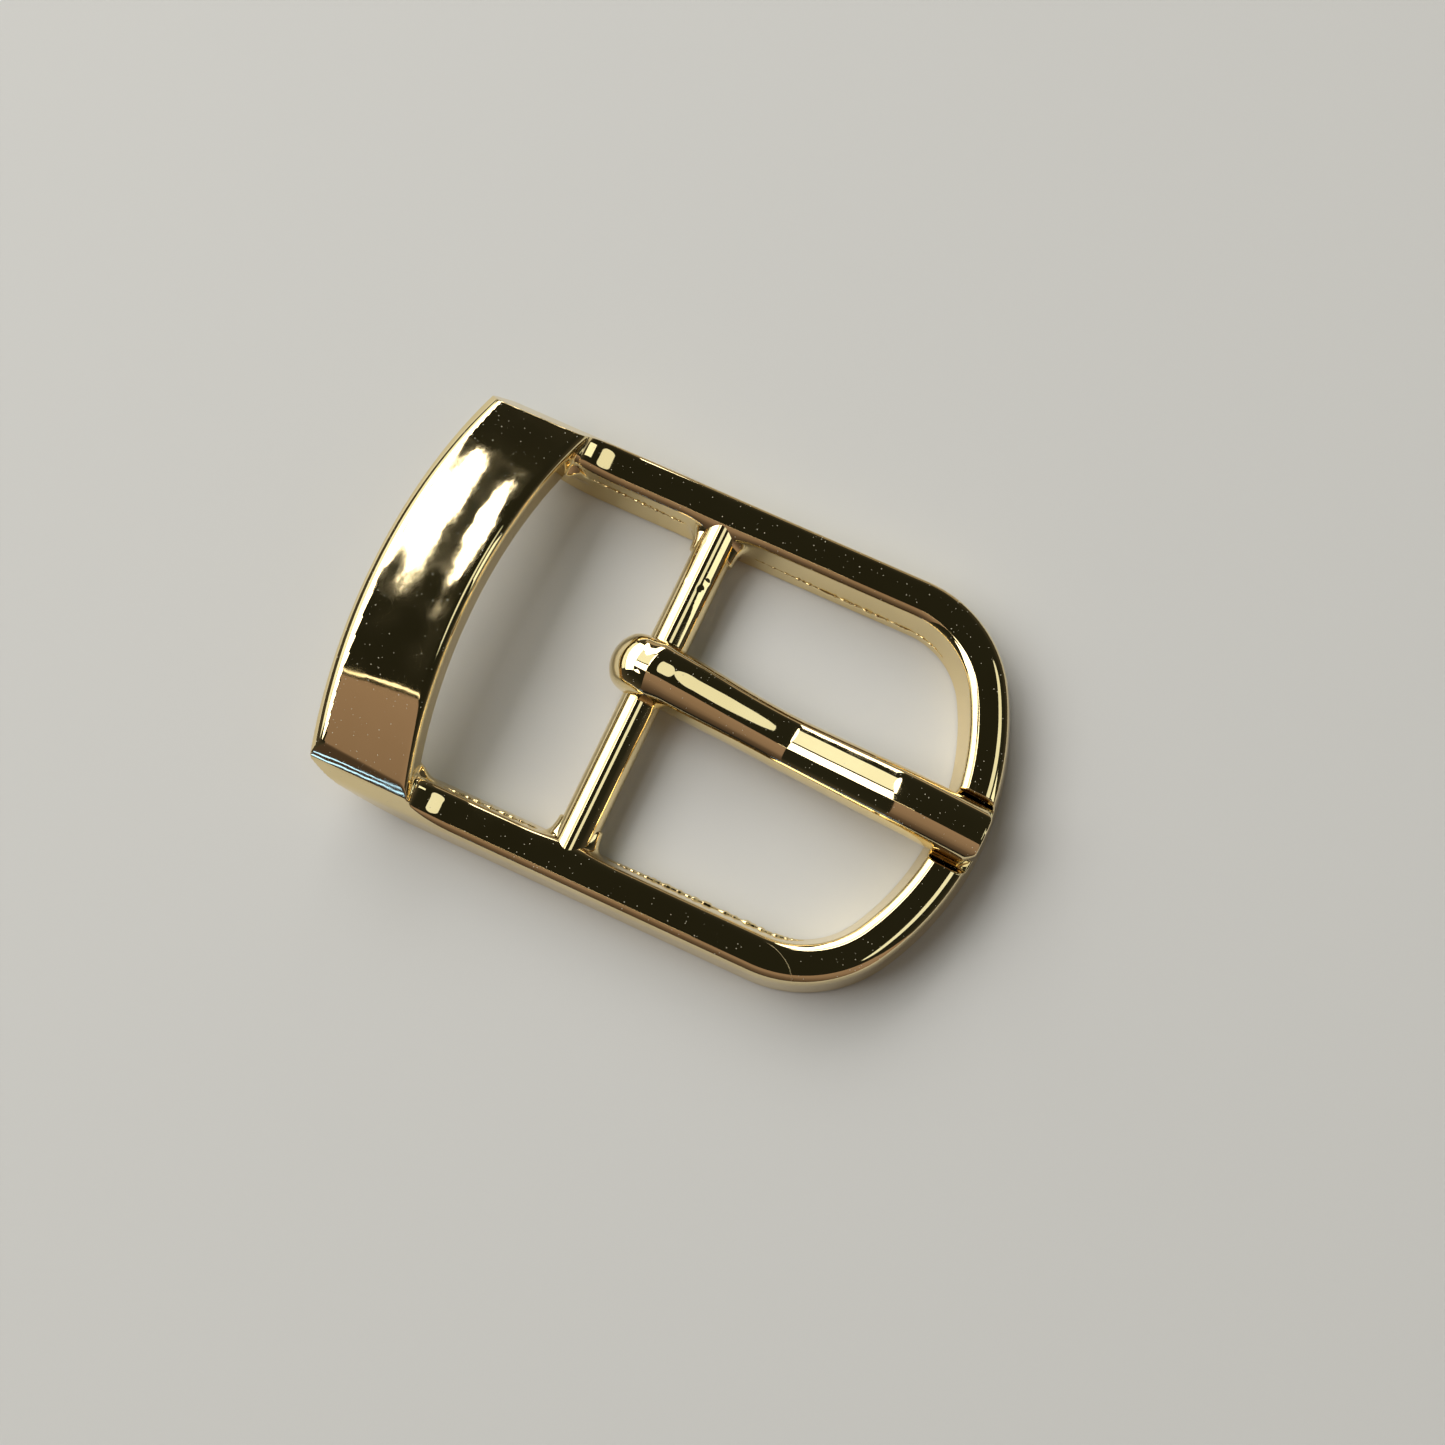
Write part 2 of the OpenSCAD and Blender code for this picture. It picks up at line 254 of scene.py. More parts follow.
def rail_top(x):
    """Height of the rails' flat top: level, then a hollow ramp up to the band."""
    t = (POST_X + SCOOP_RUN - x) / SCOOP_RUN
    stop = 0.985
    climb = SCOOP_TOP - RAIL_H
    rise, slope = quarter_round(t, stop)
    return RAIL_H + climb * rise, -climb * slope / SCOOP_RUN * (t < stop)


def rails(x, u, z):
    """The rails with their posts and scoops, without their outer side."""
    top, top_slope = rail_top(x)
    level = z * RAIL_H / top
    half, slope = shoulder_half(level)
    flat = graph_gap(z - top, top_slope)
    inner_wall = plane(-u, z, (FOOT_IN, FOOT_R), (SHOULDER_HALF, SHOULDER_Z))
    above = level > SHOULDER_Z
    inner = np.where(above, graph_gap(-u - half, slope), inner_wall)
    beyond_the_side = u - SHOULDER_HALF - 1
    outer = np.where(above & (x > POST_X), graph_gap(u - half, slope), beyond_the_side)
    sides = np.maximum(inner, outer)
    sole = np.where(x < POST_BEND_X, np.hypot(x - POST_BEND_X, z - POST_R) - POST_R, -z)
    return soft_max(soft_max(flat, sides, RAIL_EDGE), sole, SOLE_EDGE)


def band(x, y, z):
    """The raised band, without its two ends."""
    dx, dz = x - BAND_CX, z - BAND_CZ
    along = dx * math.cos(BAND_TILT) + dz * math.sin(BAND_TILT)
    radius = np.hypot(dz * math.cos(BAND_TILT) - dx * math.sin(BAND_TILT), y)
    bx = BAND_CX + along * math.cos(BAND_TILT) - radius * math.sin(BAND_TILT)
    bz = BAND_CZ + along * math.sin(BAND_TILT) + radius * math.cos(BAND_TILT)
    bevel_run = BAND_LIP - BAND_BACK
    t = np.maximum((-BAND_BACK - bx) / bevel_run, 0)
    bend = 1 - BEVEL_LEAN
    fall = BEVEL_DROP * (BEVEL_LEAN * t + bend * t * t)
    fall_slope = BEVEL_DROP / bevel_run * (BEVEL_LEAN + 2 * bend * t)
    bevel = graph_gap(bz - BAND_TOP + fall, fall_slope)
    ripple = RIPPLE * np.sin((bx + BAND_NEAR + RIPPLE_START) * 2 * math.pi / RIPPLE_PITCH)
    dish = DISH * (bx + (BAND_NEAR + BAND_BACK) / 2) ** 2
    top = soft_max(bz - BAND_TOP + RIPPLE - ripple - dish, bevel, CREASE_EDGE)
    wall = bx + BAND_NEAR
    lip = -bx - BAND_LIP
    depth = BAND_LIP - BAND_NEAR
    s = np.clip((bx + BAND_LIP) / depth, 0, 1)
    under_lip = BAND_TOP - BEVEL_DROP - LIP_H
    drop = under_lip - (BAND_TOP - BAND_WALL)
    belly = under_lip - drop * s - 4 * BELLY * s * (1 - s)
    belly_slope = (-drop - 4 * BELLY * (1 - 2 * s)) / depth
    under = graph_gap(belly - bz, belly_slope)
    upper = soft_max(soft_max(top, wall, WALL_EDGE), lip, LIP_EDGE)
    return soft_max(upper, under, UNDER_EDGE)


def bar_roots(x, y, z):
    """The flared roots that carry the bar, one out of each rail."""
    grow = ROOT_BASE_R - ROOT_TIP_R
    flare, slope = quarter_round((np.abs(y) - ROOT_TIP_Y) / ROOT_RUN, 0.98)
    horn = graph_gap(np.hypot(x, z - BAR_Z) - ROOT_TIP_R - grow * flare, grow * slope / ROOT_RUN)
    ends = np.maximum(ROOT_TIP_Y - np.abs(y), np.abs(y) - RAIL_Y)
    return soft_max(soft_max(horn, ends, ROOT_END_EDGE), z - ROOT_TOP_Z, ROOT_TOP_EDGE)


def prong_axes(x, y):
    """Position along and across the loose prong, which lies shifted on the bar and out of square."""
    y = y - PRONG_SHIFT
    along = x * math.cos(PRONG_SKEW) - y * math.sin(PRONG_SKEW)
    across = x * math.sin(PRONG_SKEW) + y * math.cos(PRONG_SKEW)
    return along, across


def saddle(x, y, z):
    """The notch in the rounded end that the prong's tip rests in."""
    along, across = prong_axes(x, y)
    lean = SADDLE_FLARE / (RAIL_H - SADDLE_Z)
    sides = graph_gap(np.abs(across) - SADDLE_HALF - lean * (z - SADDLE_Z), lean)
    notch = soft_max(SADDLE_Z - z, sides, SADDLE_FLOOR_EDGE)
    return np.maximum(notch, END_REACH - SADDLE_REACH - along)


def frame_field(x, y, z):
    """The cast frame: rails, posts, band and roots, joined with fillets and cut by its flat faces."""
    u = rail_offset(x, y)
    above_shoulder = smooth_step((z - TIGHT_FROM_Z) / TIGHT_RISE)
    outside_window = smooth_step((u - TIGHT_FROM_U) / TIGHT_RUN)
    tight = np.maximum(above_shoulder, outside_window)
    corner_r = WINDOW_FILLET + (SCOOP_FILLET - WINDOW_FILLET) * tight
    metal = fillet(rails(x, u, z), band(x, y, z), corner_r)
    metal = soft_min(metal, bar_roots(x, y, z), ROOT_JOIN)
    foot = plane(u, z, (FOOT_OUT, FOOT_R), (SHOULDER_HALF, SHOULDER_Z))
    lean = plane(u, z, (SHOULDER_HALF, SHOULDER_Z), (END_BEVEL[0] - RAIL_Y, END_BEVEL[1]))
    bevel_u = u + RAIL_Y - END_BEVEL[0]
    bevel_z = z - END_BEVEL[1]
    down_bevel = (bevel_u - bevel_z) / math.sqrt(2) + BEVEL_MIDDLE
    end_bevel = (bevel_u + bevel_z) / math.sqrt(2)
    end_bevel = end_bevel + BEVEL_CROWN * down_bevel ** 2 - FAR_BEVEL_LESS * (y > 0)
    outside = soft_max(soft_max(foot, lean, OUTSIDE_CREASE), end_bevel, BEVEL_EDGE)
    metal = soft_max(metal, outside, OUTSIDE_EDGE)
    metal = soft_max(metal, -z, FOOT_EDGE)
    return soft_max(metal, -saddle(x, y, z), SADDLE_RIM_EDGE)


# ---------------------------------------------------------------- the prong's field
def prong_line(s):
    """Height and slope of the blade's top line at s along it."""
    x, z, lean = HEEL_X, HEEL_Z + HEEL_R, 0.0
    height = np.full(np.shape(s), z)
    slope = np.zeros(np.shape(s))
    for radius, turn_degrees in BLADE_ARCS:
        to = lean + math.radians(turn_degrees)
        bend = math.copysign(radius, turn_degrees)
        centre_x = x - bend * math.sin(lean)
        centre_z = z - bend * math.cos(lean)
        sine = np.clip((s - centre_x) / bend, math.sin(min(lean, to)), math.sin(max(lean, to)))
        cosine = np.sqrt(1 - sine * sine)
        beyond = s - centre_x - bend * sine
        on_arc = s >= x
        height = np.where(on_arc, centre_z + bend * cosine - beyond * sine / cosine, height)
        slope = np.where(on_arc, -sine / cosine, slope)
        x, z, lean = centre_x + bend * math.sin(to), centre_z + bend * math.cos(to), to
    return height, slope


def blade_half(s):
    """Half width of the blade: drawn in to a waist at the dip, and let out again to the tip."""
    drawn_in = smooth_step((s - WAIST_START) / WAIST_RUN) * (BLADE_WAIST - BLADE_BASE)
    let_out = smooth_step((s - SWELL_START) / SWELL_RUN) * (BLADE_TIP - BLADE_WAIST)
    return BLADE_BASE + drawn_in + let_out


def prong_field(x, y, z):
    """The prong: a ball heel with the bar's eye through it, and a blade with a low domed top."""
    along, across = prong_axes(x, y)
    height, slope = prong_line(along)
    below = graph_gap(height - z, slope)
    half = blade_half(along)
    crown = np.hypot(across - CROWN_R * math.sin(CROWN_ROLL), CROWN_R - below) - CROWN_R
    domed = soft_max(crown, np.abs(across) - half, CROWN_EDGE)
    blade = soft_max(domed, below - PRONG_H, PRONG_SOLE_EDGE)
    blade = soft_max(blade, HEEL_X + BLADE_START - along, BLADE_START_EDGE)
    ball = np.sqrt((along - HEEL_X) ** 2 + across ** 2 + (z - HEEL_Z) ** 2) - HEEL_R
    ball = soft_max(ball, np.abs(across) - HEEL_HALF, HEEL_SIDE_EDGE)
    from_bar = np.hypot(x, z - BAR_Z)
    eye_wall = soft_max(from_bar - EYE_WALL, np.abs(across) - EYE_HALF, EYE_SIDE_EDGE)
    metal = soft_min(soft_min(blade, ball, HEEL_JOIN), eye_wall, EYE_JOIN)
    metal = soft_max(metal, HEEL_FOOT_Z - z, HEEL_FOOT_EDGE)
    metal = soft_max(metal, EYE_R - from_bar, EYE_EDGE)
    end = np.hypot(x - END_CX, y) - PRONG_END_R
    chamfer = (along - (END_CX + PRONG_END_R) + np.abs(across) - TIP_FLAT_HALF) / math.sqrt(2)
    return soft_max(metal, soft_max(end, chamfer, TIP_CORNER_EDGE), TIP_EDGE)


# ---------------------------------------------------------------- meshing a field
def gradient(field, points, step=0.004):
    """Central differences of the field, and its value, at many points."""
    columns = points.T
    slopes = []
    for axis in range(3):
        ahead = columns.copy()
        behind = columns.copy()
        ahead[axis] += step
        behind[axis] -= step
        slopes.append((field(*ahead) - field(*behind)) / (2 * step))
    return np.stack(slopes, axis=1), field(*columns)


def sample(field, low, cells, step, block=4, margin=1.6):
    """The field on a grid, worked out closely only in blocks whose middle is near the surface."""
    shape = [int(math.ceil(count / block)) for count in cells]
    centres = [low[a] + (np.arange(shape[a]) + 0.5) * block * step - step / 2 for a in range(3)]
    coarse = field(*np.meshgrid(*centres, indexing="ij"))
    values = coarse
    for axis in range(3):
        values = np.repeat(values, block, axis=axis)
    near = np.argwhere(np.abs(values) < block * step * margin)
    close = field(*(near * step + low).T)
    values[tuple(near.T)] = close
    return values


def surface_net(values, low, step):
    """One vertex in each grid cell that the surface passes through, and a quad across each crossed edge."""
    inside = values < 0
    corners = np.zeros([n - 1 for n in values.shape], dtype=np.int8)
    for i in (0, 1):
        for j in (0, 1):
            for k in (0, 1):
                nx, ny, nz = values.shape
                corners += inside[i:nx - 1 + i, j:ny - 1 + j, k:nz - 1 + k]
    mixed = (corners > 0) & (corners < 8)
    index = np.full(mixed.shape, -1, dtype=np.int64)
    index[mixed] = np.arange(mixed.sum())
    points = (np.argwhere(mixed) + 0.5) * step + low
    quads = []
    for axis in range(3):
        here = np.moveaxis(inside, axis, 0)
        cell = np.moveaxis(index, axis, 0)
        first = here[:-1, 1:-1, 1:-1]
        second = here[1:, 1:-1, 1:-1]
        crossed = np.argwhere(first != second)
        a, b, c = crossed.T
        around = (cell[a, b, c], cell[a, b + 1, c], cell[a, b + 1, c + 1], cell[a, b, c + 1])
        ring = np.stack(around, axis=1)
        leaving = first[a, b, c]
        if axis == 1:
            leaving = ~leaving
        ring[~leaving] = ring[~leaving][:, ::-1]
        quads.append(ring)
    return points, np.concatenate(quads)


def settle(field, points, quads, step, rounds=4, pulls=3):
    """Draws the vertices onto the surface, evening out the quads on the way."""
    least_slope_squared = 0.05
    least_length = 1e-9
    edges = np.concatenate([quads[:, [i, (i + 1) % 4]] for i in range(4)])
    degree = np.bincount(edges.ravel(), minlength=len(points)).reshape(-1, 1)
    for turn in range(rounds):
        if turn:
            total = np.zeros_like(points)
            for axis in range(3):
                total[:, axis] = np.bincount(edges[:, 0], points[edges[:, 1], axis], len(points))
                total[:, axis] += np.bincount(edges[:, 1], points[edges[:, 0], axis], len(points))
            points = 0.5 * points + 0.5 * total / degree
        for _ in range(pulls):
            slopes, value = gradient(field, points)
            size = np.maximum((slopes ** 2).sum(axis=1), least_slope_squared)
            move = -slopes * (value / size)[:, None]
            length = np.linalg.norm(move, axis=1)[:, None]
            points = points + move * np.minimum(1, step / np.maximum(length, least_length))
    slopes, value = gradient(field, points)
    return points, slopes / np.linalg.norm(slopes, axis=1)[:, None]


def add_mesh(name, points, faces, normals, material):
    """A new object from millimetre points above the underside, smooth-shaded with the given normals."""
    mesh = bpy.data.meshes.new(name)
    places = (np.asarray(points) + [0, 0, UNDERSIDE]) * MM
    mesh.from_pydata(places.tolist(), [], [tuple(map(int, face)) for face in faces])
    mesh.polygons.foreach_set("use_smooth", [True] * len(mesh.polygons))
    if normals is not None:
        mesh.normals_split_custom_set_from_vertices(normals.tolist())
    mesh.materials.append(material)
    piece = bpy.data.objects.new(name, mesh)
    bpy.context.scene.collection.objects.link(piece)
    return piece


def add_field_piece(name, field, low, high, step, material, spare=3):
    """A new object meshed from a field within a box, with a few spare grid cells around it."""
    low = np.array(low) - spare * step
    cells = [int(math.ceil((high[a] - low[a]) / step)) + spare for a in range(3)]
    values = sample(field, low, cells, step)
    points, quads = surface_net(values, low, step)
    points, normals = settle(field, points, quads, step)
    return add_mesh(name, points, quads, normals, material)


# ---------------------------------------------------------------- materials
# Texture scales are features per metre; heights are in millimetres. A range of noise values is the part
# of the noise, which runs from 0 to 1, that is stretched over the whole effect.
GOLD_PALE = (0.91, 0.755, 0.44, 1)
GOLD_DEEP = (0.84, 0.68, 0.37, 1)
DUST = (0.62, 0.57, 0.42, 1)
FLOOR_PAINT = (0.615, 0.62, 0.605, 1)
FLOOR_ROUGHNESS = 0.7
TONE_SCALE = 90
TONE_RANGE = (0.35, 0.65)
HAZE_SCALE = 260
HAZE_RANGE = (0.4, 0.7)
POLISH_ROUGHNESS = 0.018
HAZE_ROUGHNESS = 3 * POLISH_ROUGHNESS
WAVE_SCALE = 180
WAVE_HEIGHT = 0.018
GRAIN_SCALE = 1300
GRAIN_HEIGHT = 0.0008
HAIR_SCALE = 95
HAIR_PATCH_SCALE = 60
HAIR_PATCH_RANGE = (0.60, 0.64)
HAIR_WIDTH = 0.0035
HAIR_DEPTH = 0.004
HAIR_ROUGHNESS = 0.25
SPECK_SCALE = 2700
SPECK_SIZE = 0.13
SPECK_ROUGHNESS = 0.7


def add_node(tree, kind, values=None, **settings):
    """A new shader node with some of its settings and unlinked inputs filled in."""
    node = tree.nodes.new(kind)
    for name, value in settings.items():
        setattr(node, name, value)
    for name, value in (values or {}).items():
        node.inputs[name].default_value = value
    return node


def spread(tree, source, low, high, to_low, to_high):
    """Stretches one range of a value onto another, and stops at its ends."""
    stretch = add_node(tree, "ShaderNodeMapRange", {"From Min": low, "From Max": high,
                                                    "To Min": to_low, "To Max": to_high})
    tree.links.new(source, stretch.inputs["Value"])
    return stretch.outputs["Result"]


def combine(tree, operation, first, second):
    """One number from two, each given as a socket or a plain value."""
    result = add_node(tree, "ShaderNodeMath", operation=operation)
    for socket, value in zip(result.inputs, (first, second)):
        if isinstance(value, (int, float)):
            socket.default_value = value
        else:
            tree.links.new(value, socket)
    return result.outputs[0]


def gold_material(name):
    """Polished gold plating: faint waves and grain, patches of haze, hair scratches, and specks of dust."""
    material = bpy.data.materials.new(name)
    material.use_nodes = True
    tree = material.node_tree
    links = tree.links
    shader = tree.nodes["Principled BSDF"]
    place = add_node(tree, "ShaderNodeTexCoord").outputs["Object"]

    def noise(scale, detail):
        texture = add_node(tree, "ShaderNodeTexNoise", {"Scale": scale, "Detail": detail})
        links.new(place, texture.inputs["Vector"])
        return texture.outputs["Fac"]

    cells = add_node(tree, "ShaderNodeTexVoronoi", {"Scale": SPECK_SCALE})
    links.new(place, cells.inputs["Vector"])
    chance = add_node(tree, "ShaderNodeSeparateColor")
    links.new(cells.outputs["Color"], chance.inputs["Color"])
    size = combine(tree, "MULTIPLY", chance.outputs["Red"], SPECK_SIZE)
    speck = combine(tree, "LESS_THAN", cells.outputs["Distance"], size)

    off_line = combine(tree, "ABSOLUTE", combine(tree, "SUBTRACT", noise(HAIR_SCALE, 0), 0.5), 0)
    line = spread(tree, off_line, 0.0, HAIR_WIDTH, 1.0, 0.0)
    patch = spread(tree, noise(HAIR_PATCH_SCALE, 1), *HAIR_PATCH_RANGE, 0.0, 1.0)
    hair = combine(tree, "MULTIPLY", line, patch)

    waves = combine(tree, "MULTIPLY", noise(WAVE_SCALE, 2), WAVE_HEIGHT)
    grain = combine(tree, "MULTIPLY", noise(GRAIN_SCALE, 1), GRAIN_HEIGHT)
    height = combine(tree, "ADD", waves, grain)
    height = combine(tree, "ADD", height, combine(tree, "MULTIPLY", hair, -HAIR_DEPTH))
    bump = add_node(tree, "ShaderNodeBump", {"Strength": 1.0, "Distance": MM})
    links.new(height, bump.inputs["Height"])
    links.new(bump.outputs["Normal"], shader.inputs["Normal"])

    tone = add_node(tree, "ShaderNodeMix", data_type="RGBA")
    tone.inputs["A"].default_value = GOLD_DEEP
    tone.inputs["B"].default_value = GOLD_PALE
    links.new(spread(tree, noise(TONE_SCALE, 3), *TONE_RANGE, 0.0, 1.0), tone.inputs["Factor"])
    dusted = add_node(tree, "ShaderNodeMix", data_type="RGBA")
    links.new(speck, dusted.inputs["Factor"])
    links.new(tone.outputs["Result"], dusted.inputs["A"])
    dusted.inputs["B"].default_value = DUST
    links.new(dusted.outputs["Result"], shader.inputs["Base Color"])
    links.new(combine(tree, "SUBTRACT", 1.0, speck), shader.inputs["Metallic"])
    haze = spread(tree, noise(HAZE_SCALE, 4), *HAZE_RANGE, POLISH_ROUGHNESS, HAZE_ROUGHNESS)
    scratched = combine(tree, "ADD", haze, combine(tree, "MULTIPLY", hair, HAIR_ROUGHNESS))
    specked = combine(tree, "MULTIPLY", speck, SPECK_ROUGHNESS)
    links.new(combine(tree, "MAXIMUM", scratched, specked), shader.inputs["Roughness"])
    return material


def floor_material():
    """Plain pale paint."""
    material = bpy.data.materials.new("pale_floor")
    material.use_nodes = True
    shader = material.node_tree.nodes["Principled BSDF"]
    shader.inputs["Base Color"].default_value = FLOOR_PAINT
    shader.inputs["Roughness"].default_value = FLOOR_ROUGHNESS
    return material


# ---------------------------------------------------------------- the pieces
FRAME_STEP = 0.14
PRONG_STEP = 0.1

plating = gold_material("gold_plating")
cast_frame = add_field_piece("cast_frame", frame_field, (frame_lo.x, frame_lo.y, 0),
                             (frame_hi.x, frame_hi.y, BAND_TOP), FRAME_STEP, plating)
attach(cast_frame, "buckle")
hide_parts("frame")

prong_piece = add_field_piece("loose_prong", prong_field, (prong_lo.x, prong_lo.y, 0),
                              (prong_hi.x, prong_hi.y, prong_hi.z - UNDERSIDE), PRONG_STEP, plating)
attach(prong_piece, "tongue")
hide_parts("prong")

BAR_RINGS = 240
BAR_SPOKES = 72
PITS = 26
PIT_WIDTHS = (0.12, 0.28)
PIT_DEPTHS = (0.02, 0.06)
PIT_SEED = 5


def add_bar(name, material):
    """The round bar as a closed tube, with small casting pits sunk into it."""
    random = np.random.default_rng(PIT_SEED)
    along = np.linspace(bar_lo.y, bar_hi.y, BAR_RINGS)
    angle = np.arange(BAR_SPOKES) * 2 * math.pi / BAR_SPOKES
    length, turn = np.meshgrid(along, angle, indexing="ij")
    radius = np.full(length.shape, BAR_R)
    for _ in range(PITS):
        at = random.uniform(bar_lo.y, bar_hi.y)
        facing = random.uniform(0, 2 * math.pi)
        width = random.uniform(*PIT_WIDTHS)
        depth = random.uniform(*PIT_DEPTHS)
        across = (np.mod(turn - facing + math.pi, 2 * math.pi) - math.pi) * BAR_R
        radius -= depth * np.exp(-((length - at) ** 2 + across ** 2) / width ** 2)
    rings = np.stack([radius * np.cos(turn), length, BAR_Z + radius * np.sin(turn)], axis=2)
    rings = rings.reshape(-1, 3)
    centres = [(0, along[0], BAR_Z), (0, along[-1], BAR_Z)]
    points = np.concatenate([rings, centres])
    faces = []
    for ring in range(BAR_RINGS - 1):
        for spoke in range(BAR_SPOKES):
            here = ring * BAR_SPOKES + spoke
            beside = ring * BAR_SPOKES + (spoke + 1) % BAR_SPOKES
            faces.append((here, here + BAR_SPOKES, beside + BAR_SPOKES, beside))
    first_cap = len(rings)
    last_cap = first_cap + 1
    last_ring = (BAR_RINGS - 1) * BAR_SPOKES
    for spoke in range(BAR_SPOKES):
        beside = (spoke + 1) % BAR_SPOKES
        faces.append((first_cap, spoke, beside))
        faces.append((last_cap, last_ring + beside, last_ring + spoke))
    return add_mesh(name, points, faces, None, material)


round_bar = add_bar("round_bar", plating)
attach(round_bar, "buckle")
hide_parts("centre_bar")

# Flash: the ragged fin that the mould's parting line leaves along the rails' inner walls
FLASH_HALF = 0.08
FLASH_ROOT = 0.08
FLASH_REACH = 0.3
FLASH_PITCH = 0.22
FLASH_WANDER = 0.04
FLASH_RAGGED = (0.3, 1.0)
FLASH_TAPER = 0.4
FLASH_SEED = 11
# Each run: name, side of the strap, distances along the wall, and heights above the underside
FLASH_RUNS = (("flash_upper_window", 1, (-13.0, -2.7), (3.1, 2.5)),
              ("flash_upper_corner", 1, (3.4, 24.0), (1.7, 1.0)),
              ("flash_lower_window", -1, (-12.5, -3.0), (2.9, 2.4)),
              ("flash_lower_corner", -1, (3.2, 23.0), (1.6, 1.2)))


def inner_wall(s, side, z, inwards):
    """A point on a rail's inner wall at distance s along it, moved so far into the window."""
    half = FOOT_IN + (SHOULDER_HALF - FOOT_IN) * (z - FOOT_R) / (SHOULDER_Z - FOOT_R)
    angle = max(s - CORNER_CX, 0) / CORNER_R
    offset = CORNER_R - half - inwards
    x = min(s, CORNER_CX) + offset * math.sin(angle)
    y = CORNER_CY + offset * math.cos(angle)
    return x, side * y, z


def add_flash(name, side, along, heights, material, random):
    """One fin: a three-sided strip rooted in the wall, whose ragged edge reaches into the window."""
    start, end = along
    count = int((end - start) / FLASH_PITCH)
    points = []
    for i in range(count + 1):
        t = i / count
        s = start + (end - start) * t
        z = heights[0] + (heights[1] - heights[0]) * t + random.uniform(-FLASH_WANDER, FLASH_WANDER)
        reach = FLASH_REACH * random.uniform(*FLASH_RAGGED) * math.sin(math.pi * t) ** FLASH_TAPER
        points.append(inner_wall(s, side, z + FLASH_HALF, -FLASH_ROOT))
        points.append(inner_wall(s, side, z - FLASH_HALF, -FLASH_ROOT))
        points.append(inner_wall(s, side, z, reach))
    faces = [(0, 1, 2)]
    for i in range(count):
        for corner in range(3):
            here, beside = 3 * i + corner, 3 * i + (corner + 1) % 3
            faces.append((here, here + 3, beside + 3, beside))
    faces.append((3 * count + 2, 3 * count + 1, 3 * count))
    if side < 0:
        faces = [face[::-1] for face in faces]
    return add_mesh(name, points, faces, None, material)


flash_random = np.random.default_rng(FLASH_SEED)
for flash_name, flash_side, flash_along, flash_heights in FLASH_RUNS:
    fin = add_flash(flash_name, flash_side, flash_along, flash_heights, plating, flash_random)
    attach(fin, "buckle")

# ---------------------------------------------------------------- floor, camera and light
FLOOR_SIZE = 4.0
floor_mesh = bpy.data.meshes.new("floor")
floor_corners = [(x * FLOOR_SIZE / 2, y * FLOOR_SIZE / 2, UNDERSIDE * MM)
                 for x, y in ((-1, -1), (1, -1), (1, 1), (-1, 1))]
floor_mesh.from_pydata(floor_corners, [], [(0, 1, 2, 3)])
floor_mesh.materials.append(floor_material())
floor = bpy.data.objects.new("floor", floor_mesh)
bpy.context.scene.collection.objects.link(floor)

CAMERA_AT = Vector((37.122, -39.371, 219.353)) * MM
CAMERA_AIM = Vector((6.98, 0.585, -2.5)) * MM
CAMERA_ROLL = math.radians(-25.549)
LENS = 63.857
SENSOR = 36
NEAREST = 1 * MM

camera_data = bpy.data.cameras.new("camera")
camera_data.lens = LENS
camera_data.sensor_width = SENSOR
camera_data.clip_start = NEAREST
camera = bpy.data.objects.new("camera", camera_data)
bpy.context.scene.collection.objects.link(camera)
forward = (CAMERA_AIM - CAMERA_AT).normalized()
level_up = (Vector((0, 1, 0)) - forward * forward.y).normalized()
up = Matrix.Rotation(CAMERA_ROLL, 3, forward) @ level_up
right = forward.cross(up)
turn = Matrix((right, up, -forward)).transposed()
camera.matrix_world = Matrix.Translation(CAMERA_AT) @ turn.to_4x4()
bpy.context.scene.camera = camera


def toward(east, north):
    """The unit direction that lies so many degrees from straight overhead, towards +X and towards +Y."""
    angle = math.hypot(east, north)
    lean = math.sin(math.radians(angle)) / max(angle, 1e-6)
    return Vector((east * lean, north * lean, math.cos(math.radians(angle))))


LIGHT_DISTANCE = 2.0


def softbox(name, east, north, brightness, colour, round_ends=False):
    """A flat light, oblong or oval, that covers two ranges of directions as seen from the origin."""
    middle_east, middle_north = sum(east) / 2, sum(north) / 2
    out = toward(middle_east, middle_north)
    side = toward(middle_east + 1, middle_north) - toward(middle_east - 1, middle_north)
    side = (side - out * side.dot(out)).normalized()
    data = bpy.data.lights.new(name, "AREA")
    data.shape = "ELLIPSE" if round_ends else "RECTANGLE"
    data.size = 2 * LIGHT_DISTANCE * math.tan(math.radians((east[1] - east[0]) / 2))
    data.size_y = 2 * LIGHT_DISTANCE * math.tan(math.radians((north[1] - north[0]) / 2))
    area = data.size * data.size_y * (math.pi / 4 if round_ends else 1)
    data.energy = brightness * math.pi * area
    data.color = colour
    light = bpy.data.objects.new(name, data)
    bpy.context.scene.collection.objects.link(light)
    axes = Matrix((side, out.cross(side), out)).transposed()
    light.matrix_world = Matrix.Translation(out * LIGHT_DISTANCE) @ axes.to_4x4()


WHITE = (1.0, 0.98, 0.95)
CREAM = (0.95, 1.0, 0.92)
AMBER = (1.0, 0.9, 0.7)
SAND = (1.0, 0.82, 0.64)
TAN = (1.0, 0.71, 0.56)
BLUE = (0.25, 0.5, 1.0)

